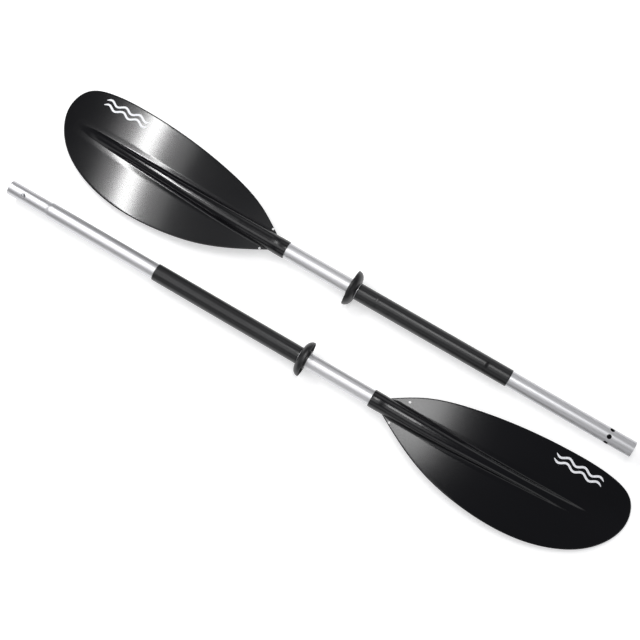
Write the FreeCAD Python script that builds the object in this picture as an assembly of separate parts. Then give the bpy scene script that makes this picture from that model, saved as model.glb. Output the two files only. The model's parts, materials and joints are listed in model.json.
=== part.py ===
import FreeCAD, Part
import math
import os

# Two-piece kayak paddle, taken apart. The two halves lie side by side and point opposite ways.
# Units are millimetres. X runs along both shafts, Z is up, and the floor is Z = 0.
#
# Each half is drawn once, in its own "half frame": X runs along the shaft from the joint end
# toward the blade, with X = 0 at the drip ring's rim, and the shaft's axis is Y = Z = 0.
# Half A is mirrored in X on its way to its place, which also makes its blade the other hand.

V = FreeCAD.Vector
X_AXIS = V(1, 0, 0)
ORIGIN = V(0, 0, 0)

# ---- driving dimensions ----

# shaft tube
TUBE_R = 14.3
TUBE_WALL = 1.4
BORE_R = TUBE_R - TUBE_WALL

# joint: the swaged end of tube B slides into the open end of tube A, which is reamed to size
SOCKET_WALL = 1.2
SOCKET_R = TUBE_R - SOCKET_WALL
SOCKET_LENGTH = 84.0
JOINT_PLAY = 0.08
MALE_R = SOCKET_R - JOINT_PLAY
MALE_LENGTH = 77.0
SWAGE_TAPER = 6.0
MALE_END_ROUND = 0.5

# stations along a half, from the drip ring's rim
NECK_X = 128.0
GRIP_END_A = -313.0
GRIP_END_B = -303.0
TUBE_END_A = GRIP_END_A - 238.0
TUBE_END_B = GRIP_END_B - 299.0
NECK_DEPTH = 90.0

# snap button and the holes it springs into
BUTTON_R = 4.0
BUTTON_PROUD = 4.6
BUTTON_FLANGE_R = 5.2
BUTTON_FLANGE = 0.8
BUTTON_FROM_END = 31.0
HOLE_PLAY = 0.2
FEATHER_STEP = 60.0
BUTTON_ROLL = 16.0
WALL_GAP = 0.1
SPRING_THICK = 0.6
SPRING_WIDTH = 9.0
SPRING_FLAT = 7.0
SPRING_LENGTH = 55.0
SPRING_BEND_R = 3.3

# blade
BLADE_LENGTH = 476.3
BLADE_THICK = 3.2
SPOON_START = 60.0
SPOON_DROP = 29.8
SIDE_DROP = 4.0
HALF_WIDTH = 97.5
CUT_HALF_WIDTH = 85.0
SLEEVE_R = 15.8
SLEEVE_BORE_R = TUBE_R + 0.05
LEASH_HOLE_R = 2.25

# outline of the blade, from the neck to the tip: distance from the neck, then distance from
# the axis, on the fuller edge and on the cut-away edge
WING_START = (24.0, 12.8)
FULL_EDGE = [WING_START, (80, 47), (160, 73), (250, 89), (350, 97), (420, 94.6), (462, 78.5)]
CUT_EDGE = [(460, -7.5), (430, -39), (390, -62), (340, -78), (280, -CUT_HALF_WIDTH),
            (210, -81.6), (140, -67.3), (80, -43)]
TIP = (BLADE_LENGTH, 44.0)

# rib that carries the socket on into the blade, leans toward the fuller edge and dies away
# near the tip: distance from the neck, shift sideways, half width and height above the plate
RIB = [(150, 0.8, 14.0, 12.0), (220, 3.3, 11.5, 9.0), (300, 7.0, 8.5, 6.0),
       (360, 10.3, 5.5, 3.5), (412, 13.0, 2.8, 1.3), (440, 14.5, 1.2, 0.5)]

# holes through the wings beside the socket: distance from the neck and from the axis
LEASH_HOLES_A = [(40.0, 20.8), (43.0, -20.8)]
LEASH_HOLES_B = [(60.0, 26.5), (47.0, -21.5)]

# rivet through the underside of the blade socket and the tube
RIVET_X = 34.0
RIVET_R = 2.4
RIVET_HEAD_R = 4.8
RIVET_HEAD = 1.4
RIVET_SEAT = 0.2
RIVET_PLAY = 0.02
RIVET_BULB_R = 3.4
RIVET_BULB = 3.0
RIVET_BULB_GAP = 0.4

# grip sleeve, and the oval strip under sleeve A that tells the hand how the blade is turned
GRIP_R = 15.5
GRIP_FROM_RING = 14.5
INDEX_RISE = 1.0
INDEX_SINK = 0.5
INDEX_R = 14.6
INDEX_EDGE_Z = 4.0
INDEX_FROM_RING = 52.0
INDEX_FROM_END = 44.0
INDEX_RUNOUT = 3.0

# drip ring
RING_R = 32.5
RING_DEPTH = 13.6
RING_WALL = 1.8
RING_BORE_R = TUBE_R + 0.06
RING_HUB_R = 17.0
RING_COLLAR = 2.5

# foam plugs inside the tubes
PLUG_R = BORE_R - 0.4
PLUG_EDGE_R = 1.5
PLUG_LENGTH = 40.0
PLUG_FROM_SOCKET_END = 100.0
PLUG_FROM_MALE_END = 110.0
NECK_PLUG_LENGTH = 30.0
NECK_PLUG_INSET = 8.0

# layout on the floor
SHAFT_SPACING = 148.0
AXIS_Z = RING_R
# the blades are a little fuller on one side, so the pair is shifted to stand centred
SIDE_SHIFT = (CUT_HALF_WIDTH - HALF_WIDTH) / 2


# ---- small helpers ----

def cylinder(radius, start, end):
    return Part.makeCylinder(radius, end - start, V(start, 0, 0), X_AXIS)


def tube(outer, inner, start, end):
    return cylinder(outer, start, end).cut(cylinder(inner, start - 1, end + 1))


def revolve(profile):
    """Turn a closed outline of edges in the XZ plane once round the shaft's axis."""
    face = Part.Face(Part.Wire(profile))
    return face.revolve(ORIGIN, X_AXIS, 360)


def polyline(points):
    closed = points + points[:1]
    return [Part.makeLine(a, b) for a, b in zip(closed, closed[1:])]


def rolled(shape, degrees):
    """Turn a shape that was drawn straight up (+Z) toward -Y about the shaft's axis."""
    turned = shape.copy()
    turned.rotate(ORIGIN, X_AXIS, degrees)
    return turned


def upright(radius, x, low, high):
    return Part.makeCylinder(radius, high - low, V(x, 0, low), V(0, 0, 1))


# ---- shafts ----

def shaft_a():
    """Tube with the open end that takes the other half, and three holes for the snap button."""
    body = tube(TUBE_R, BORE_R, TUBE_END_A, NECK_X + NECK_DEPTH - 1)
    body = body.cut(cylinder(SOCKET_R, TUBE_END_A - 1, TUBE_END_A + SOCKET_LENGTH))
    station = TUBE_END_A + MALE_LENGTH - BUTTON_FROM_END
    for turn in (-FEATHER_STEP, 0, FEATHER_STEP):
        hole = upright(BUTTON_R + HOLE_PLAY, station, 0, TUBE_R + 2)
        body = body.cut(rolled(hole, BUTTON_ROLL + turn))
    return body.cut(rivet_hole())


def shaft_b():
    """Tube swaged down at its end, with one hole for the snap button."""
    end = TUBE_END_B
    shoulder = end + MALE_LENGTH
    full = shoulder + SWAGE_TAPER
    far = NECK_X + NECK_DEPTH - 1
    step = TUBE_R - MALE_R
    profile = polyline([
        V(end, 0, MALE_R - TUBE_WALL),
        V(end, 0, MALE_R - MALE_END_ROUND),
        V(end + MALE_END_ROUND, 0, MALE_R),
        V(shoulder, 0, MALE_R),
        V(full, 0, TUBE_R),
        V(far, 0, TUBE_R),
        V(far, 0, BORE_R),
        V(full + step, 0, BORE_R),
        V(shoulder + step, 0, MALE_R - TUBE_WALL),
    ])
    body = revolve(profile)
    hole = upright(BUTTON_R + HOLE_PLAY, end + BUTTON_FROM_END, 0, TUBE_R + 2)
    return body.cut(rolled(hole, BUTTON_ROLL)).cut(rivet_hole())


def rivet_hole():
    return upright(RIVET_R, NECK_X + RIVET_X, -SLEEVE_R - 2, 0)


def foam_plug(start, length):
    """Closed-cell plug that keeps water out of the tube, with its corners rounded."""
    body = cylinder(PLUG_R, start, start + length)
    return body.makeFillet(PLUG_EDGE_R, body.Edges)


# ---- snap button ----

def snap_button():
    """Domed pin with a flange that stops it inside the tube."""
    x = TUBE_END_B + BUTTON_FROM_END
    inner = MALE_R - TUBE_WALL - WALL_GAP
    flange = upright(BUTTON_FLANGE_R, x, inner - BUTTON_FLANGE, inner)
    # the flange is trimmed to the round bore that it sits in
    flange = flange.common(cylinder(inner, x - BUTTON_FLANGE_R, x + BUTTON_FLANGE_R))
    dome_z = MALE_R + BUTTON_PROUD - BUTTON_R
    stem = upright(BUTTON_R, x, inner - BUTTON_FLANGE, dome_z)
    dome = Part.makeSphere(BUTTON_R, V(x, 0, dome_z), V(0, 0, 1), 0, 90, 360)
    return rolled(flange.fuse([stem, dome]), BUTTON_ROLL)


def button_spring():
    """Folded steel strip: one leg carries the button, the other leans on the far wall."""
    x = TUBE_END_B + BUTTON_FROM_END
    inner = MALE_R - TUBE_WALL - WALL_GAP
    nose, heel, bend = x - SPRING_FLAT, x + SPRING_FLAT, x + SPRING_LENGTH
    leg = inner - BUTTON_FLANGE - WALL_GAP
    foot = -math.sqrt(inner ** 2 - (SPRING_WIDTH / 2) ** 2)
    outer_r, inner_r = SPRING_BEND_R, SPRING_BEND_R - SPRING_THICK
    thick = SPRING_THICK
    # outer face from the nose round the bend to the foot, then back along the inner face
    corners = [
        [V(nose, 0, leg), V(heel, 0, leg), V(bend, 0, outer_r)],
        [V(bend, 0, -outer_r), V(heel, 0, foot), V(nose, 0, foot), V(nose, 0, foot + thick),
         V(heel, 0, foot + thick), V(bend, 0, -inner_r)],
        [V(bend, 0, inner_r), V(heel, 0, leg - thick), V(nose, 0, leg - thick), V(nose, 0, leg)],
    ]
    edges = [Part.makeLine(p, q) for run in corners for p, q in zip(run, run[1:])]
    for r in (outer_r, inner_r):
        edges.append(Part.Arc(V(bend, 0, r), V(bend + r, 0, 0), V(bend, 0, -r)).toShape())
    face = Part.Face(Part.Wire(Part.__sortEdges__(edges)))
    strip = face.extrude(V(0, SPRING_WIDTH, 0))
    strip.translate(V(0, -SPRING_WIDTH / 2, 0))
    return rolled(strip, BUTTON_ROLL)


# ---- grips ----

def grip_sleeve(grip_end, indexed):
    """Tight sleeve on the tube; over the index strip it stands a little proud on top."""
    start, end = grip_end, -GRIP_FROM_RING
    body = cylinder(GRIP_R, start, end)
    if indexed:
        low, high = index_span(grip_end)
        wide = cylinder(GRIP_R, low, high)
        wide.translate(V(0, 0, INDEX_RISE))
        body = body.fuse(wide.makeFillet(INDEX_RISE * 0.6, [wide.Edges[0], wide.Edges[2]]))
    bore = cylinder(TUBE_R + 0.02, start - 1, end + 1)
    body = body.cut(bore)
    if indexed:
        low, high = index_span(grip_end)
        bed = cylinder(INDEX_R + 0.05, low + INDEX_RUNOUT - 0.1, high - INDEX_RUNOUT + 0.1)
        bed.translate(V(0, 0, INDEX_RISE - INDEX_SINK))
        body = body.cut(bed)
    return body


def index_span(grip_end):
    return grip_end + INDEX_FROM_END, -INDEX_FROM_RING


def index_strip():
    """Thin crescent under sleeve A."""
    low, high = index_span(GRIP_END_A)
    body = cylinder(INDEX_R, low + INDEX_RUNOUT, high - INDEX_RUNOUT)
    body.translate(V(0, 0, INDEX_RISE - INDEX_SINK))
    body = body.cut(cylinder(TUBE_R + 0.02, low - 1, high + 1))
    # only the upper crescent is kept
    upper = Part.makeBox(high - low, 4 * TUBE_R, 2 * TUBE_R, V(low, -2 * TUBE_R, INDEX_EDGE_Z))
    return body.common(upper)


# ---- drip ring ----

def drip_ring():
    """Rubber cup: a collar round the tube and a bowl that opens toward the blade."""
    back = -RING_DEPTH
    collar = RING_COLLAR
    rim = RING_WALL / 2
    outer_bulge = arc_point(back, RING_HUB_R, RING_R, RING_DEPTH - rim)
    inner_r = RING_R - RING_WALL
    inner_back = back + RING_WALL
    inner_bulge = arc_point(inner_back, RING_HUB_R, inner_r, RING_DEPTH - RING_WALL - rim)
    outer_rim = V(-rim, 0, RING_R)
    inner_rim = V(-rim, 0, inner_r)
    edges = [
        Part.makeLine(V(collar, 0, RING_BORE_R), V(back, 0, RING_BORE_R)),
        Part.makeLine(V(back, 0, RING_BORE_R), V(back, 0, RING_HUB_R)),
        Part.Arc(V(back, 0, RING_HUB_R), outer_bulge, outer_rim).toShape(),
        Part.Arc(outer_rim, V(0, 0, RING_R - rim), inner_rim).toShape(),
        Part.Arc(inner_rim, inner_bulge, V(inner_back, 0, RING_HUB_R)).toShape(),
        Part.makeLine(V(inner_back, 0, RING_HUB_R), V(collar, 0, RING_HUB_R)),
        Part.makeLine(V(collar, 0, RING_HUB_R), V(collar, 0, RING_BORE_R)),
    ]
    return revolve(edges)


def arc_point(back, hub_r, rim_r, depth):
    """Middle of the bowl's arc, at 45 degrees on the quarter ellipse from hub to rim."""
    lift = math.sin(math.radians(45))
    return V(back + depth * (1 - lift), 0, hub_r + (rim_r - hub_r) * lift)


# ---- blade ----

def plate_top(u, y):
    """Height of the blade's upper face: spooned along its length and crowned across."""
    bend = max(0.0, u - SPOON_START) / (BLADE_LENGTH - SPOON_START)
    return BLADE_THICK / 2 - SPOON_DROP * bend ** 2 - SIDE_DROP * (y / HALF_WIDTH) ** 2


def block_under(drop):
    """Everything below the blade's upper face lowered by drop, past the blade on all sides."""
    margin, steps = 12, 12
    run = BLADE_LENGTH + 2 * margin
    side = HALF_WIDTH + margin
    rows = []
    for i in range(steps + 1):
        u = run * i / steps - margin
        across = (-side, -side / 2, 0, side / 2, side)
        rows.append([V(NECK_X + u, y, plate_top(u, y) - drop) for y in across])
    surface = Part.BSplineSurface()
    surface.interpolate(rows)
    return surface.toShape().extrude(V(0, 0, -4 * AXIS_Z))


def outline():
    """Solid prism inside the blade's outline."""
    points = [V(NECK_X + u, y, 0) for u, y in FULL_EDGE + [TIP] + CUT_EDGE]
    points.append(V(NECK_X + WING_START[0], -WING_START[1], 0))
    rim = Part.BSplineCurve()
    rim.interpolate(points)
    face = Part.Face(Part.Wire([rim.toShape(), Part.makeLine(points[-1], points[0])]))
    prism = face.extrude(V(0, 0, 4 * AXIS_Z))
    prism.translate(V(0, 0, -3 * AXIS_Z))
    return prism


def round_loft(stations):
    """Smooth body through circles across the shaft: distance, shift sideways, height, radius."""
    rings = [Part.Wire(Part.makeCircle(r, V(NECK_X + u, y, z), X_AXIS)) for u, y, z, r in stations]
    return Part.makeLoft(rings, True, False)


def rib_stations():
    """Circles that reach the wanted half width at the plate and the wanted height above it."""
    stations = [(u, 0, 0, SLEEVE_R) for u in (0, NECK_DEPTH / 2, NECK_DEPTH + 5)]
    for u, shift, half, high in RIB:
        radius = (half ** 2 + high ** 2) / (2 * high)
        stations.append((u, shift, plate_top(u, shift) + high - radius, radius))
    return stations


def blade(leash_holes):
    """Plate with its rib, the socket sleeve at the neck and two small holes in the wings."""
    plate = outline().common(block_under(0).cut(block_under(BLADE_THICK)))
    body = plate.fuse(round_loft(rib_stations()))
    body = body.cut(cylinder(SLEEVE_BORE_R, NECK_X - 1, NECK_X + NECK_DEPTH))
    for u, y in leash_holes:
        hole = upright(LEASH_HOLE_R, NECK_X + u, -SLEEVE_R, SLEEVE_R)
        hole.translate(V(0, y, 0))
        body = body.cut(hole)
    return body.cut(rivet_hole())


def blade_rivet():
    """Blind rivet: domed head under the socket, shank through both walls, bulb inside."""
    x = NECK_X + RIVET_X
    crown = -SLEEVE_R - RIVET_HEAD
    seat = -SLEEVE_R + RIVET_SEAT
    inner = -BORE_R + RIVET_BULB_GAP
    shank = upright(RIVET_R - RIVET_PLAY, x, crown + RIVET_HEAD / 2, inner)
    bulb = upright(RIVET_BULB_R, x, inner, inner + RIVET_BULB)
    ball_r = (RIVET_HEAD_R ** 2 + RIVET_HEAD ** 2) / (2 * RIVET_HEAD)
    ball = Part.makeSphere(ball_r, V(x, 0, crown + ball_r))
    head = ball.common(upright(RIVET_HEAD_R, x, crown, seat))
    # the head's underside follows the round socket
    head = head.cut(cylinder(SLEEVE_R + RIVET_PLAY, x - RIVET_HEAD_R, x + RIVET_HEAD_R))
    return shank.fuse([bulb, head])


# ---- placing the halves and writing the files ----

def place(shape, half):
    """Move a shape from the half frame to the floor."""
    side = 1 if half == "a" else -1
    placed = shape.mirror(ORIGIN, X_AXIS) if half == "a" else shape.copy()
    placed.translate(V(0, side * SHAFT_SPACING / 2 + SIDE_SHIFT, AXIS_Z))
    return placed


def write(name, shape, half):
    solid, = place(shape, half).Solids
    solid.exportStep("parts/" + name + ".step")


def main():
    os.makedirs("parts", exist_ok=True)
    neck_plug_x = NECK_X + NECK_DEPTH - NECK_PLUG_LENGTH - NECK_PLUG_INSET
    ring = drip_ring()
    rivet = blade_rivet()
    neck_plug = foam_plug(neck_plug_x, NECK_PLUG_LENGTH)
    pieces = [
        ("shaft_a", shaft_a(), "a"),
        ("blade_a", blade(LEASH_HOLES_A), "a"),
        ("blade_rivet_a", rivet, "a"),
        ("grip_a", grip_sleeve(GRIP_END_A, True), "a"),
        ("grip_index_strip", index_strip(), "a"),
        ("drip_ring_a", ring, "a"),
        ("neck_plug_a", neck_plug, "a"),
        ("shaft_plug_a", foam_plug(TUBE_END_A + PLUG_FROM_SOCKET_END, PLUG_LENGTH), "a"),
        ("shaft_b", shaft_b(), "b"),
        ("blade_b", blade(LEASH_HOLES_B), "b"),
        ("blade_rivet_b", rivet, "b"),
        ("grip_b", grip_sleeve(GRIP_END_B, False), "b"),
        ("drip_ring_b", ring, "b"),
        ("neck_plug_b", neck_plug, "b"),
        ("shaft_plug_b", foam_plug(TUBE_END_B + PLUG_FROM_MALE_END, PLUG_LENGTH), "b"),
        ("snap_button", snap_button(), "b"),
        ("button_spring", button_spring(), "b"),
    ]
    for name, shape, half in pieces:
        write(name, shape, half)
        box = place(shape, half).BoundBox
        print("%-18s solids %d valid %s x %.1f..%.1f y %.1f..%.1f z %.2f..%.2f" % (
            name, len(shape.Solids), shape.isValid(),
            box.XMin, box.XMax, box.YMin, box.YMax, box.ZMin, box.ZMax))


main()
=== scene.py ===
import json
import math

import bmesh
import bpy
import numpy as np
from mathutils import Matrix, Vector


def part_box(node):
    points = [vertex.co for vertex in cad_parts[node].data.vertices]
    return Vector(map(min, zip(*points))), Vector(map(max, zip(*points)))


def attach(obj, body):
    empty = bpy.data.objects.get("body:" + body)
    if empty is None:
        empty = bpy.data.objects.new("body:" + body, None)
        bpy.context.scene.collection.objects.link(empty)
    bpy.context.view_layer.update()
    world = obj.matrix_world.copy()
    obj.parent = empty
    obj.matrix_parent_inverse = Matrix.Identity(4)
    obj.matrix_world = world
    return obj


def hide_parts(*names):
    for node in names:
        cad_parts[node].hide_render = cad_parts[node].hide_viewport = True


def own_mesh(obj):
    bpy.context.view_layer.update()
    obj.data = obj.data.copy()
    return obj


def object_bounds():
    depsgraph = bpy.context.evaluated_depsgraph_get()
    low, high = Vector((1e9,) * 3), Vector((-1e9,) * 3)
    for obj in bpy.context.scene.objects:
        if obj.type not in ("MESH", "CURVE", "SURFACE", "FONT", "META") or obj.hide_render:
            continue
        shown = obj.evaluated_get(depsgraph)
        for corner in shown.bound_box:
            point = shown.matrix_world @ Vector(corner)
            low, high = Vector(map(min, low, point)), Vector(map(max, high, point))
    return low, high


# The visual model of a take-apart kayak paddle. Units are metres, in the frame's axes:
# X along both shafts, Y from half B toward half A, Z up from the floor.
#
# Each half has its own "half frame": x from the drip ring's rim toward the blade, y and z
# from the shaft's axis. Half A is half B's mirror image in X.

MM = 0.001

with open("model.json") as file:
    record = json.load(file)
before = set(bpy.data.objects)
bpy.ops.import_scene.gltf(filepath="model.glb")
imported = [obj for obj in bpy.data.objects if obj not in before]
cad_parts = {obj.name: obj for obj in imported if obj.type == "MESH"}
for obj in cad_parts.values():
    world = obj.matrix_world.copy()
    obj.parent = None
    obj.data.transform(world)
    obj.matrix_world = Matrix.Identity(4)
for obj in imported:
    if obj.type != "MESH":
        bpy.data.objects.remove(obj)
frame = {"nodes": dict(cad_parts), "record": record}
cad_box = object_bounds()
nodes = frame["nodes"]

SIGN = {"a": -1, "b": 1}
AXIS = {}
for half in SIGN:
    low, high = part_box("drip_ring_" + half)
    AXIS[half] = Vector((0, (low[1] + high[1]) / 2, (low[2] + high[2]) / 2))

# ---- sizes taken from the frame ----

blade_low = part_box("blade_b")[0]
ring_low, ring_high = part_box("drip_ring_b")
grip_low = {"a": -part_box("grip_a")[1][0], "b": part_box("grip_b")[0][0]}
grip_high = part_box("grip_b")[1][0]

NECK_X = blade_low[0]
RING_R = (ring_high[2] - ring_low[2]) / 2
RING_BACK = ring_low[0]
RING_COLLAR = ring_high[0]
TUBE_R = (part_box("shaft_a")[1][2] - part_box("shaft_a")[0][2]) / 2
GRIP_R = (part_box("grip_b")[1][2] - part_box("grip_b")[0][2]) / 2

# ---- blade shape, measured from the neck ----

BLADE_LENGTH = 476.3 * MM
BLADE_THICK = 3.2 * MM
SPOON_START = 60 * MM
SPOON_DROP = 29.8 * MM
SIDE_DROP = 4 * MM
HALF_WIDTH = 97.5 * MM
SLEEVE_R = 15.8 * MM
SOCKET_DEPTH = 90 * MM

WING_START = (24.0, 12.8)
FULL_EDGE = [WING_START, (80, 47), (160, 73), (250, 89), (350, 97), (420, 94.6), (462, 78.5)]
CUT_EDGE = [(460, -7.5), (430, -39), (390, -62), (340, -78), (280, -85),
            (210, -81.6), (140, -67.3), (80, -43)]
TIP = (476.3, 44.0)

# rib, at stations in mm along the blade: shift toward the fuller edge, half width and height
# over the plate; then the half width and depth of the troughs along both of its sides
RIB_AT = [0, 95, 150, 220, 300, 360, 412, 445]
RIB_SHIFT = [0, 0, 0.8, 3.3, 7.0, 10.3, 13.0, 14.8]
RIB_HALF = [15.6, 15.6, 14.0, 11.5, 9.5, 8.5, 7.0, 5.5]
RIB_HIGH = [14.1, 14.1, 12.0, 9.0, 5.6, 3.0, 1.1, 0.3]
TROUGH_AT = [50, 90, 150, 240, 300, 350, 400, 430, 450]
TROUGH_HALF = [17.5, 19.5, 20.5, 20.5, 20.5, 20.0, 19.0, 18.0, 16.0]
TROUGH_DEEP = [0.0, 1.0, 2.0, 2.1, 1.8, 1.2, 0.5, 0.15, 0.0]
# the rib dies away between these stations, and past the next one the sections close in on the
# tip's own centre line
RIB_FADE = (395, 446)
TIP_PULL = 442
# share of a trough's half width where its bank starts to rise, and the depth of the same trough
# on the under face compared with the upper face
TROUGH_FLOOR = 0.5
UNDER_TROUGH = 0.4


# ---- small mesh helpers ----

SHARP_ANGLE = math.radians(40)


def new_object(name, bm, smooth=True):
    mesh = bpy.data.meshes.new(name)
    bm.to_mesh(mesh)
    bm.free()
    for face in mesh.polygons:
        face.use_smooth = smooth
    mesh.set_sharp_from_angle(angle=SHARP_ANGLE)
    obj = bpy.data.objects.new(name, mesh)
    bpy.context.scene.collection.objects.link(obj)
    return obj


def to_floor(obj, half):
    """Move a mesh from the half frame to its place; half A is mirrored."""
    sign, axis = SIGN[half], AXIS[half]
    for v in obj.data.vertices:
        v.co = Vector((sign * v.co.x, v.co.y + axis.y, v.co.z + axis.z))
    if sign < 0:
        obj.data.flip_normals()


def lathe(profile, segments=128):
    """Turn a closed outline of (x, radius) once round the X axis."""
    bm = bmesh.new()
    rings = []
    for i in range(segments):
        a = 2 * math.pi * i / segments
        rings.append([bm.verts.new((x, r * math.sin(a), r * math.cos(a))) for x, r in profile])
    count = len(profile)
    for i in range(segments):
        near, far = rings[i], rings[(i + 1) % segments]
        for j in range(count):
            k = (j + 1) % count
            bm.faces.new((near[j], near[k], far[k], far[j]))
    bmesh.ops.recalc_face_normals(bm, faces=bm.faces)
    return bm


def arc(cx, cr, rx, rr, start, end, steps):
    """Points of an elliptic arc about (cx, cr), angles in degrees from the +x side."""
    points = []
    for i in range(steps + 1):
        a = math.radians(start + (end - start) * i / steps)
        points.append((cx + rx * math.cos(a), cr + rr * math.sin(a)))
    return points


def smooth_step(x, low, high):
    t = np.clip((x - low) / (high - low), 0, 1)
    return t * t * (3 - 2 * t)


# ---- blade ----

def spline(points):
    """Natural cubic through the points; returns a function of 0..1 and each point's parameter."""
    p = np.array(points, float)
    chord = np.linalg.norm(np.diff(p, axis=0), axis=1)
    t = np.concatenate([[0], np.cumsum(chord)]) / chord.sum()
    n = len(p)
    h = np.diff(t)
    system = np.zeros((n, n))
    right = np.zeros((n, 2))
    system[0, 0] = system[-1, -1] = 1
    for i in range(1, n - 1):
        system[i, i - 1:i + 2] = h[i - 1], 2 * (h[i - 1] + h[i]), h[i]
        right[i] = 6 * ((p[i + 1] - p[i]) / h[i] - (p[i] - p[i - 1]) / h[i - 1])
    m = np.linalg.solve(system, right)

    def at(x):
        x = np.atleast_1d(x)
        i = np.clip(np.searchsorted(t, x, side="right") - 1, 0, n - 2)
        a = ((t[i + 1] - x) / h[i])[:, None]
        b = ((x - t[i]) / h[i])[:, None]
        hh = (h[i] ** 2)[:, None] / 6
        return a * p[i] + b * p[i + 1] + ((a ** 3 - a) * m[i] + (b ** 3 - b) * m[i + 1]) * hh

    return at, t


def plate_top(u, y):
    bend = np.maximum(0, u - SPOON_START) / (BLADE_LENGTH - SPOON_START)
    return BLADE_THICK / 2 - SPOON_DROP * bend ** 2 - SIDE_DROP * (y / HALF_WIDTH) ** 2


def along(stations, values, u):
    return float(np.interp(u / MM, stations, values)) * MM


def trough(u, y):
    """Depth of the groove beside the rib: deepest at the rib's foot, with a crisp outer edge."""
    half = along(TROUGH_AT, TROUGH_HALF, u)
    out = abs(y - along(RIB_AT, RIB_SHIFT, u))
    rise = np.clip((out / half - TROUGH_FLOOR) / (1 - TROUGH_FLOOR), 0, 1)
    return along(TROUGH_AT, TROUGH_DEEP, u) * float(1 - rise)


def rib_circle(u, top):
    """Centre height and radius of the rib's round section over the upper or under face."""
    if u < SOCKET_DEPTH:
        return 0.0, SLEEVE_R - 0.1 * MM
    half, high = along(RIB_AT, RIB_HALF, u), along(RIB_AT, RIB_HIGH, u)
    radius = (half ** 2 + high ** 2) / (2 * high)
    face = float(plate_top(u, along(RIB_AT, RIB_SHIFT, u)))
    if top:
        return face + high - radius, radius
    return face - BLADE_THICK - high + radius, radius


def face_height(u, y, top):
    """Height of the plate's upper or under face, without the rib."""
    if top:
        return float(plate_top(u, y)) - trough(u, y)
    return float(plate_top(u, y)) - BLADE_THICK - UNDER_TROUGH * trough(u, y)


# points across one side of a section: round the rib, its fillet, the trough and the plate
RIB_STEPS, FILLET_STEPS, TROUGH_STEPS, PLATE_STEPS = 11, 5, 9, 26
FILLET = 4.0 * MM
NEAR_TIP = 380 * MM


def half_section(mid, edge, top):
    """Points from the rib's crest out to the plate's edge, one side of one face."""
    u = mid[0]
    side = 1 if edge[1] > mid[1] else -1
    reach = abs(edge[1] - mid[1])
    way = 1 if top else -1
    centre, radius = rib_circle(min(u, RIB_AT[-1] * MM), top)
    fillet = float(np.clip((reach - radius) * 0.6, 0.2 * MM, FILLET))
    foot = radius
    for _ in range(6):
        rise = way * (face_height(u, mid[1] + side * foot, top) - centre) + fillet
        foot = math.sqrt(max((radius + fillet) ** 2 - rise ** 2, 0))
    # near the tip the rib keeps to the inner part of a section that gets narrow
    foot = min(foot, reach * 0.45 if u > NEAR_TIP else reach - 0.2 * MM)
    turn = math.atan2(foot, rise)
    shore = max(along(TROUGH_AT, TROUGH_HALF, u), foot + 0.5 * MM)
    shore = min(shore, foot * 0.3 + reach * 0.7)
    fade = float(1 - smooth_step(u, RIB_FADE[0] * MM, RIB_FADE[1] * MM))
    points = []
    for i in range(RIB_STEPS + FILLET_STEPS + 1):
        if i <= RIB_STEPS:
            a = turn * i / RIB_STEPS
            out, high = radius * math.sin(a), radius * math.cos(a)
        else:
            a = turn * (1 - (i - RIB_STEPS) / FILLET_STEPS)
            out, high = foot - fillet * math.sin(a), rise - fillet * math.cos(a)
        flat = foot * i / (RIB_STEPS + FILLET_STEPS)
        out = flat + (out - flat) * fade
        y = mid[1] + side * min(out, reach)
        plain = face_height(u, y, top)
        points.append((u, y, plain + (centre + way * high - plain) * fade))
    for i in range(1, TROUGH_STEPS + PLATE_STEPS + 1):
        if i <= TROUGH_STEPS:
            out = foot + (shore - foot) * i / TROUGH_STEPS
        else:
            out = shore + (reach - shore) * (i - TROUGH_STEPS) / PLATE_STEPS
        slant = max(0.0, (out - foot) / max(reach - foot, 1e-6))
        uu = u + (edge[0] - u) * slant
        y = mid[1] + side * out
        points.append((uu, y, face_height(uu, y, top)))
    return points


def blade_edges(rows):
    """Both edges from the neck to the tip: points just inside the rim, and outward directions."""
    outline = FULL_EDGE + [TIP] + CUT_EDGE + [(WING_START[0], -WING_START[1])]
    at, knots = spline(outline)
    tip_t = knots[len(FULL_EDGE)]
    run = np.linspace(0, 1, rows + 1)
    sides = []
    for start in (0.0, 1.0):
        t = start + (tip_t - start) * run
        step = 1e-4
        edge = at(t) * MM
        heading = at(np.clip(t + step, 0, 1)) - at(np.clip(t - step, 0, 1))
        heading /= np.linalg.norm(heading, axis=1)[:, None]
        out = np.stack([-heading[:, 1], heading[:, 0]], axis=1)
        sides.append((edge - out * BLADE_THICK / 2, out))
    return sides


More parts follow.
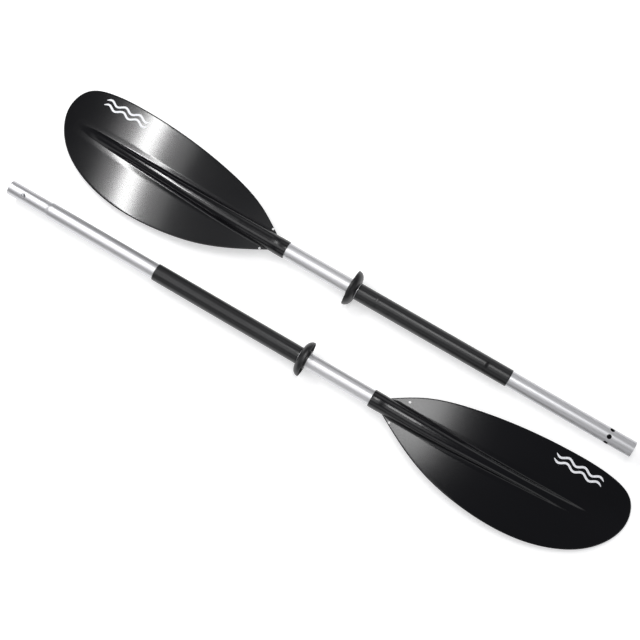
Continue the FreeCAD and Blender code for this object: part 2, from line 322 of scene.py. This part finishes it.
def blade_mesh(rows=170, rim_steps=6):
    """Plate with its rib, fillets and troughs and a full round rim, from the neck to the tip."""
    bm = bmesh.new()
    sides = blade_edges(rows)
    loops = []
    for i in range(rows + 1):
        full, cut = sides[0][0][i], sides[1][0][i]
        u_mid = (full[0] + cut[0]) / 2
        pull = float(smooth_step(u_mid, TIP_PULL * MM, BLADE_LENGTH - BLADE_THICK / 2))
        shift = along(RIB_AT, RIB_SHIFT, u_mid)
        mid = (u_mid, shift + (TIP[1] * MM - shift) * pull)
        loop = []
        for top in (True, False):
            toward_full = half_section(mid, full, top)
            toward_cut = half_section(mid, cut, top)
            line = toward_cut[::-1] + toward_full[1:]
            loop.append(line if top else line[::-1])
        ring = loop[0] + rim(loop[0][-1], loop[1][0], sides[0][1][i], rim_steps)
        ring += loop[1] + rim(loop[1][-1], loop[0][0], sides[1][1][i], rim_steps)
        loops.append([bm.verts.new((NECK_X + u, y, z)) for u, y, z in ring])
    for near, far in zip(loops, loops[1:]):
        count = len(near)
        for j in range(count):
            k = (j + 1) % count
            bm.faces.new((near[j], near[k], far[k], far[j]))
    bm.faces.new(loops[0][::-1])
    bmesh.ops.remove_doubles(bm, verts=bm.verts, dist=2e-6)
    bmesh.ops.dissolve_degenerate(bm, edges=bm.edges, dist=1e-7)
    bmesh.ops.recalc_face_normals(bm, faces=bm.faces)
    return bm


def rim(start, end, out, steps):
    """Half round from one face to the other, bulging outward in plan."""
    middle, tall = (start[2] + end[2]) / 2, (start[2] - end[2]) / 2
    points = []
    for k in range(1, steps):
        a = math.pi * k / steps
        bulge = BLADE_THICK / 2 * math.sin(a)
        height = middle + tall * math.cos(a)
        points.append((start[0] + out[0] * bulge, start[1] + out[1] * bulge, height))
    return points


def socket_profile():
    """Mouth of the blade's socket: a soft lip and a low collar, then the wall under the wings."""
    bore = TUBE_R + 0.05 * MM
    lip = 0.8 * MM
    collar = SLEEVE_R + 0.15 * MM
    wall = SLEEVE_R - 0.08 * MM
    collar_end = NECK_X + 20 * MM
    end = NECK_X + 36 * MM
    points = [(end, bore), (NECK_X, bore)]
    points += arc(NECK_X + lip, collar - lip, lip, lip, 180, 90, 5)
    points += [(collar_end, collar), (collar_end + 0.8 * MM, wall), (end, wall)]
    return points


def make_blade(half):
    name = "moulded_blade_" + half
    blade = new_object(name, blade_mesh())
    for m in frame["record"]["mounts"]:
        if m["name"].startswith("leash_hole_" + half):
            drill(blade, half, m)
    bm = bmesh.new()
    bm.from_mesh(blade.data)
    sleeve = lathe(socket_profile())
    spare = bpy.data.meshes.new("sleeve")
    sleeve.to_mesh(spare)
    sleeve.free()
    bm.from_mesh(spare)
    bpy.data.meshes.remove(spare)
    bm.to_mesh(blade.data)
    bm.free()
    blade.data.shade_smooth()
    blade.data.set_sharp_from_angle(angle=SHARP_ANGLE)
    to_floor(blade, half)
    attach(blade, "half_" + half)
    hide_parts("blade_" + half)
    return blade


DRILL_LENGTH = 30 * MM


def drill(blade, half, mount):
    """Cut one leash hole through the plate, in the half frame."""
    x, y, z = mount["pos_m"]
    bm = bmesh.new()
    radius = mount["dims"]["r_mm"] * MM
    bmesh.ops.create_cone(bm, cap_ends=True, segments=32, radius1=radius, radius2=radius,
                          depth=DRILL_LENGTH)
    cutter = new_object("cutter", bm)
    cutter.location = (SIGN[half] * x, y - AXIS[half].y, z - AXIS[half].z)
    bpy.context.view_layer.update()
    mod = blade.modifiers.new("hole", "BOOLEAN")
    mod.operation = "DIFFERENCE"
    mod.object = cutter
    mod.solver = "EXACT"
    graph = bpy.context.evaluated_depsgraph_get()
    mesh = bpy.data.meshes.new_from_object(blade.evaluated_get(graph))
    blade.modifiers.clear()
    blade.data = mesh
    bpy.data.objects.remove(cutter)


# ---- drip rings ----

def ring_profile():
    """Collar, rounded bowl with a soft rim, and back, as a closed outline of (x, radius)."""
    bore = TUBE_R + 0.06 * MM
    hub = 17 * MM
    wall = 1.8 * MM
    bead = wall / 2
    deep = -RING_BACK
    edge = 1.2 * MM
    collar = RING_COLLAR
    points = [(collar - edge, bore), (RING_BACK, bore), (RING_BACK, hub - 1 * MM)]
    points += arc(-bead, hub, deep - bead, RING_R - hub, 180, 90, 18)
    points += arc(-bead, RING_R - bead, bead, bead, 90, -90, 8)[1:-1]
    points += arc(-bead, hub, deep - wall - bead, RING_R - wall - hub, 90, 178, 16)
    points += [(-deep + wall + 1.5 * MM, hub), (collar - edge, hub)]
    points += arc(collar - edge, hub - edge, edge, edge, 90, 0, 5)[1:]
    points += arc(collar - edge, bore + edge, edge, edge, 0, -90, 4)[:-1]
    return points


def make_ring(half):
    ring = new_object("rubber_drip_ring_" + half, lathe(ring_profile()))
    to_floor(ring, half)
    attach(ring, "ring_" + half)
    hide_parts("drip_ring_" + half)
    return ring


# ---- grips ----

INDEX_RISE = 1.0 * MM
INDEX_FROM_RING = 52 * MM
INDEX_FROM_END = 44 * MM
# the sleeve rises over the strip's ends from this far outside them to this far inside
RAMP_OUTSIDE = 1 * MM
RAMP_INSIDE = 2 * MM
# the sleeve's soft ends, and the height over the bore from which its skin is lifted
GRIP_EDGE = 0.6 * MM
SKIN_HEIGHT = 0.3 * MM
GRIP_STEP = 2 * MM


def make_grip(half):
    """Shrunk sleeve: thin wall with soft ends; sleeve A stands proud over its index strip."""
    low, high = grip_low[half], grip_high
    bore = TUBE_R + 0.02 * MM
    count = int((high - low) / GRIP_STEP)
    stations = [low + (high - low) * i / count for i in range(count + 1)]
    edge = GRIP_EDGE
    corner = edge * 0.3
    profile = [(high, bore), (low, bore)]
    profile += [(low, GRIP_R - edge), (low + corner, GRIP_R - corner), (low + edge, GRIP_R)]
    profile += [(x, GRIP_R) for x in stations[1:-1]]
    profile += [(high - edge, GRIP_R), (high - corner, GRIP_R - corner), (high, GRIP_R - edge)]
    bm = lathe(profile)
    if half == "a":
        start, end = low + INDEX_FROM_END, -INDEX_FROM_RING
        for v in bm.verts:
            if math.hypot(v.co.y, v.co.z) > bore + SKIN_HEIGHT:
                over = smooth_step(v.co.x, start - RAMP_OUTSIDE, start + RAMP_INSIDE)
                over *= 1 - smooth_step(v.co.x, end - RAMP_INSIDE, end + RAMP_OUTSIDE)
                v.co.z += INDEX_RISE * float(over) * max(0, v.co.z / GRIP_R)
    grip = new_object("shrink_grip_" + half, bm)
    to_floor(grip, half)
    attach(grip, "half_" + half)
    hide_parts("grip_" + half)
    return grip


# ---- leaf spring behind the snap button ----


def make_spring():
    """The folded strip, with its foot on the tube's far wall, copied from the frame's solid and
    carried with half B.
    """
    solid = nodes["button_spring"]
    spring = bpy.data.objects.new("folded_leaf_spring", solid.data.copy())
    bpy.context.scene.collection.objects.link(spring)
    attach(spring, "half_b")
    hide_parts("button_spring")
    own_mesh(spring)
    return spring


# ---- printed mark ----

MARK_AT = {"a": (377 * MM, 75 * MM), "b": (363 * MM, 75 * MM)}
MARK_LENGTH = 92 * MM
MARK_WAVE = 30 * MM
MARK_RISE = 3.2 * MM
MARK_LINE = 1.9 * MM
MARK_GAP = 10 * MM


def make_mark(half):
    """Two short wavy lines printed on the blade, which lie on its curved face."""
    bm = bmesh.new()
    steps = 72
    for row in (-0.5, 0.5):
        previous = None
        for i in range(steps + 1):
            u = (i / steps - 0.5) * MARK_LENGTH
            phase = 2 * math.pi * u / MARK_WAVE
            y = MARK_AT[half][1] + row * MARK_GAP + MARK_RISE * math.sin(phase)
            slope = MARK_RISE * 2 * math.pi / MARK_WAVE * math.cos(phase)
            taper = min(1, 12 * min(i, steps - i) / steps + 0.25)
            across = MARK_LINE * taper / math.hypot(1, slope)
            pair = []
            for side in (-1, 1):
                uu = MARK_AT[half][0] + u - side * slope * across
                yy = y + side * across
                z = face_height(uu, yy, True) + 0.12 * MM
                pair.append(bm.verts.new((NECK_X + uu, yy, z)))
            if previous:
                bm.faces.new((previous[0], pair[0], pair[1], previous[1]))
            previous = pair
    bmesh.ops.recalc_face_normals(bm, faces=bm.faces)
    mark = new_object("printed_waves_" + half, bm)
    to_floor(mark, half)
    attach(mark, "half_" + half)
    return mark


# ---- materials ----

class Shader:
    """A Principled material under construction, with short calls for its nodes."""

    def __init__(self, name, **values):
        self.material = bpy.data.materials.new(name)
        self.material.use_nodes = True
        self.tree = self.material.node_tree
        self.surface = self.tree.nodes["Principled BSDF"]
        for key, value in values.items():
            self.set(key.replace("_", " "), value)
        coords = self.node("ShaderNodeTexCoord")
        self.place = coords.outputs["Object"]

    def node(self, kind, **inputs):
        made = self.tree.nodes.new(kind)
        for key, value in inputs.items():
            self.feed(made.inputs[key.replace("_", " ")], value)
        return made

    def feed(self, socket, value):
        if isinstance(value, bpy.types.NodeSocket):
            self.tree.links.new(value, socket)
        else:
            socket.default_value = value

    def set(self, name, value):
        self.feed(self.surface.inputs[name], value)

    def stretched(self, scale):
        """Object coordinates scaled by a different amount along each axis."""
        mapped = self.node("ShaderNodeMapping", Vector=self.place)
        mapped.inputs["Scale"].default_value = scale
        return mapped.outputs["Vector"]

    def noise(self, scale, detail=3.0, stretch=(1, 1, 1), roughness=0.5):
        made = self.node("ShaderNodeTexNoise", Vector=self.stretched(stretch), Scale=scale,
                         Detail=detail, Roughness=roughness)
        return made.outputs["Fac"]

    def spread(self, value, low, high, start=0.0, end=1.0):
        """Map start..end of a value to low..high."""
        made = self.node("ShaderNodeMapRange", Value=value)
        made.inputs["From Min"].default_value = start
        made.inputs["From Max"].default_value = end
        made.inputs["To Min"].default_value = low
        made.inputs["To Max"].default_value = high
        return made.outputs["Result"]

    def ramp(self, value, stops):
        made = self.node("ShaderNodeValToRGB", Fac=value)
        ramp = made.color_ramp
        while len(ramp.elements) < len(stops):
            ramp.elements.new(0.5)
        for element, (at, colour) in zip(ramp.elements, stops):
            element.position = at
            element.color = (*colour, 1)
        return made.outputs["Color"]

    def math(self, kind, a, b=0.0):
        made = self.node("ShaderNodeMath")
        made.operation = kind
        self.feed(made.inputs[0], a)
        self.feed(made.inputs[1], b)
        return made.outputs[0]

    def vector_math(self, kind, a, b=None):
        made = self.node("ShaderNodeVectorMath")
        made.operation = kind
        self.feed(made.inputs[0], a)
        if b is not None:
            self.feed(made.inputs[1], b)
        return made

    def blend(self, share, first, second):
        """Colour that goes from the first to the second as the share goes from 0 to 1."""
        made = self.node("ShaderNodeMix")
        made.data_type = "RGBA"
        self.feed(made.inputs["Factor"], share)
        # a mix node has one pair of inputs for each data type; these are the colours
        colours = [socket for socket in made.inputs if socket.type == "RGBA"]
        self.feed(colours[0], first)
        self.feed(colours[1], second)
        return next(socket for socket in made.outputs if socket.type == "RGBA")

    def bump(self, height, distance, strength=1.0, under=None):
        made = self.node("ShaderNodeBump", Height=height, Distance=distance, Strength=strength)
        if under is not None:
            self.feed(made.inputs["Normal"], under)
        return made.outputs["Normal"]


# painted shade: the dark colour given to the inside of the aluminium tubes
BORE_PAINTED_SHADE = (0.03, 0.03, 0.032, 1)


def tube_aluminium(half, shade_edge):
    """Drawn aluminium; inside the tube, from the bore's edge in, its colour is a dark painted shade.
    """
    s = Shader("tube_aluminium_" + half, Metallic=1.0)
    # lines left by drawing the tube, long along X and fine round it
    lines = s.noise(900, 4, (0.02, 1, 1), 0.65)
    cloud = s.noise(14, 3, (0.35, 1, 1))
    bright = s.ramp(cloud, [(0.3, (0.63, 0.63, 0.645)), (0.7, (0.67, 0.67, 0.68))])
    from_centre = s.vector_math("SUBTRACT", s.place, (0, AXIS[half].y, AXIS[half].z))
    across = s.vector_math("MULTIPLY", from_centre.outputs["Vector"], (0, 1, 1))
    from_axis = s.vector_math("LENGTH", across.outputs["Vector"])
    outside = s.spread(from_axis.outputs["Value"], 0, 1, shade_edge, shade_edge + 0.2 * MM)
    # inside the bore the tube takes the dark painted shade instead of the metal's own colour
    s.set("Base Color", s.blend(outside, BORE_PAINTED_SHADE, bright))
    rough = s.math("ADD", s.spread(lines, -0.04, 0.04), s.spread(cloud, 0.40, 0.46))
    s.set("Roughness", rough)
    s.set("Normal", s.bump(lines, 0.00002, 0.2))
    return s.material


# stations along the blade where the dull socket's finish ends and the wings' full gloss starts
DULL_TO = 50 * MM
GLOSS_FROM = 220 * MM


def blade_plastic():
    s = Shader("blade_plastic", Specular_IOR_Level=0.5, IOR=1.5)
    flow = s.noise(9, 3, (0.5, 1, 1))
    grain = s.noise(1600, 2)
    s.set("Base Color", s.ramp(flow, [(0.3, (0.0026, 0.0026, 0.0033)),
                                      (0.7, (0.0042, 0.0042, 0.0052))]))
    # the socket is duller than the wings, on both halves
    parts = s.node("ShaderNodeSeparateXYZ", Vector=s.place)
    out = s.math("ABSOLUTE", parts.outputs["X"])
    dull = s.spread(out, 0.24, 0.12, NECK_X + DULL_TO, NECK_X + GLOSS_FROM)
    s.set("Roughness", s.math("ADD", dull, s.spread(s.noise(20, 1), -0.005, 0.005)))
    wave = s.bump(s.noise(26, 2, (0.6, 1, 1)), 0.0004, 0.05)
    s.set("Normal", s.bump(grain, 0.00001, s.spread(dull, 0, 0.3, 0.13, 0.24), wave))
    return s.material


def grip_plastic():
    s = Shader("grip_sleeve", Specular_IOR_Level=0.5)
    cloud = s.noise(18, 3)
    s.set("Base Color", s.ramp(cloud, [(0.3, (0.0045, 0.0045, 0.0050)),
                                       (0.7, (0.0070, 0.0070, 0.0080))]))
    s.set("Roughness", s.spread(s.noise(60, 4, (0.3, 1, 1)), 0.26, 0.40))
    drawn = s.bump(s.noise(70, 3, (0.12, 1, 1)), 0.0003, 0.35)
    s.set("Normal", s.bump(s.noise(1500, 2), 0.00001, 0.4, drawn))
    return s.material


def ring_rubber():
    s = Shader("ring_rubber", Specular_IOR_Level=0.5)
    cloud = s.noise(40, 3)
    s.set("Base Color", s.ramp(cloud, [(0.3, (0.0035, 0.0035, 0.0040)),
                                       (0.7, (0.0055, 0.0055, 0.0065))]))
    s.set("Roughness", s.spread(s.noise(90, 4), 0.30, 0.46))
    s.set("Normal", s.bump(s.noise(900, 3), 0.00002, 0.5))
    return s.material


def bright_metal(name, colour, rough):
    s = Shader(name, Metallic=1.0)
    cloud = s.noise(300, 3)
    darker = tuple(c * 0.82 for c in colour)
    s.set("Base Color", s.ramp(cloud, [(0.3, darker), (0.7, colour)]))
    s.set("Roughness", s.spread(s.noise(900, 4), rough * 0.8, rough * 1.3))
    s.set("Normal", s.bump(s.noise(2500, 3), 0.00001, 0.5))
    return s.material


def plain_inner(name, low, high, rough):
    s = Shader(name)
    grain = s.noise(700, 4)
    s.set("Base Color", s.ramp(grain, [(0.3, low), (0.7, high)]))
    s.set("Roughness", s.spread(grain, rough - 0.08, rough + 0.08))
    s.set("Normal", s.bump(grain, 0.0002, 0.6))
    return s.material


def print_white():
    s = Shader("print_white")
    wear = s.noise(420, 4)
    s.set("Base Color", s.ramp(wear, [(0.28, (0.62, 0.63, 0.66)), (0.45, (0.86, 0.87, 0.90))]))
    s.set("Roughness", s.spread(wear, 0.3, 0.5))
    s.set("Normal", s.bump(wear, 0.00002, 0.5))
    return s.material


def dress(obj, material):
    obj.data.materials.clear()
    obj.data.materials.append(material)


# ---- build ----

blade_material = blade_plastic()
grip_material = grip_plastic()
rubber = ring_rubber()
white = print_white()
for half in ("a", "b"):
    dress(make_blade(half), blade_material)
    dress(make_ring(half), rubber)
    dress(make_grip(half), grip_material)
    dress(make_mark(half), white)

# the wall's outer face stands above this distance from the axis, on the swaged end too; nearer the
# axis the tube is coloured with dark painted shade
BORE_SHADE_EDGE = {"a": 13.4 * MM, "b": 12.5 * MM}
rivet = bright_metal("rivet_aluminium", (0.70, 0.70, 0.72), 0.3)
foam = plain_inner("plug_foam", (0.10, 0.10, 0.11), (0.16, 0.16, 0.17), 0.85)
for half in ("a", "b"):
    dress(nodes["shaft_" + half], tube_aluminium(half, BORE_SHADE_EDGE[half]))
    dress(nodes["blade_rivet_" + half], rivet)
    dress(nodes["neck_plug_" + half], foam)
    dress(nodes["shaft_plug_" + half], foam)
dress(nodes["snap_button"], bright_metal("button_metal", (0.50, 0.50, 0.52), 0.16))
dress(make_spring(), bright_metal("spring_steel", (0.52, 0.52, 0.54), 0.3))
index_plastic = plain_inner("index_plastic", (0.05, 0.05, 0.05), (0.08, 0.08, 0.08), 0.6)
dress(nodes["grip_index_strip"], index_plastic)


# ---- floor, light and camera ----

FLOOR_GAP = 0.3 * MM
# the floor gives off a little light of its own, so that it reads as plain white
FLOOR_GLOW = 0.42
WORLD_GLOW = 0.12


def make_floor():
    bm = bmesh.new()
    bmesh.ops.create_grid(bm, x_segments=1, y_segments=1, size=6)
    floor = new_object("floor", bm, False)
    floor.location.z = cad_box[0][2] - FLOOR_GAP
    s = Shader("floor_white")
    s.set("Base Color", s.ramp(s.noise(3, 2), [(0.3, (0.80, 0.80, 0.80)), (0.7, (0.82, 0.82, 0.82))]))
    s.set("Roughness", 0.9)
    s.set("Emission Color", (1, 1, 1, 1))
    s.set("Emission Strength", FLOOR_GLOW)
    dress(floor, s.material)


def softbox(name, place, aim, size, radiance, along_axis=(1, 0, 0)):
    """Rectangular area light; its first side lies along an axis as nearly as it can."""
    light = bpy.data.lights.new(name, "AREA")
    light.shape = "RECTANGLE"
    light.size, light.size_y = size
    light.energy = radiance * math.pi * size[0] * size[1]
    lamp = bpy.data.objects.new(name, light)
    z = (Vector(place) - Vector(aim)).normalized()
    x = Vector(along_axis)
    x = (x - z * x.dot(z)).normalized()
    turn = Matrix((x, z.cross(x), z)).transposed()
    lamp.matrix_world = Matrix.Translation(place) @ turn.to_4x4()
    bpy.context.scene.collection.objects.link(lamp)
    return lamp


CAMERA_AZIMUTH = math.radians(30.64)
CAMERA_ELEVATION = math.radians(78.2)
CAMERA_DISTANCE = 2.450
CAMERA_TARGET = Vector((-0.0158, -0.0089, AXIS["a"].z))
IMAGE_SIDE = 640
FOCAL_PX = 1428.0


def make_camera():
    data = bpy.data.cameras.new("camera")
    data.sensor_width = 36.0
    data.lens = data.sensor_width * FOCAL_PX / IMAGE_SIDE
    camera = bpy.data.objects.new("camera", data)
    flat = math.cos(CAMERA_ELEVATION)
    toward = Vector((math.sin(CAMERA_AZIMUTH) * flat, -math.cos(CAMERA_AZIMUTH) * flat,
                     math.sin(CAMERA_ELEVATION)))
    camera.location = CAMERA_TARGET + toward * CAMERA_DISTANCE
    camera.rotation_euler = toward.to_track_quat("Z", "Y").to_euler()
    bpy.context.scene.collection.objects.link(camera)
    bpy.context.scene.camera = camera


def make_world():
    world = bpy.data.worlds.new("studio")
    world.use_nodes = True
    back = world.node_tree.nodes["Background"]
    back.inputs["Color"].default_value = (0.9, 0.92, 1.0, 1)
    back.inputs["Strength"].default_value = WORLD_GLOW
    bpy.context.scene.world = world


# four dim walls of light all round, each with its first side's direction
WALLS = (("left", (-2.2, -0.6, 1.3), (0, 1, 0)),
         ("right", (2.2, -0.2, 1.3), (0, 1, 0)),
         ("front", (0.2, -2.4, 1.2), (1, 0, 0)),
         ("back", (0.2, 2.3, 1.4), (1, 0, 0)))
WALL_SIZE = (2.4, 1.2)
WALL_RADIANCE = 0.8
MIDDLE = (0, 0, 0)
# a long light's reflection makes the bright band along blade A, with a soft edge round it
BAND_ON = (-0.41, 0.07, 0)
BAND_ALONG = (-0.163, 1, 0)

make_floor()
make_world()
softbox("overhead", (-0.45, -0.95, 2.3), MIDDLE, (2.0, 1.1), 1.8)
softbox("neck_light", (0.10, 0.35, 2.4), (0.1, 0, 0), (0.45, 0.9), 12)
softbox("band", (-1.57, 0.62, 2.4), BAND_ON, (1.8, 0.12), 38, BAND_ALONG)
softbox("band_edge", (-1.55, 0.62, 2.45), BAND_ON, (1.8, 0.55), 2.4, BAND_ALONG)
for name, place, along_axis in WALLS:
    softbox(name, place, MIDDLE, WALL_SIZE, WALL_RADIANCE, along_axis)
bpy.context.scene.view_settings.view_transform = "Standard"
make_camera()
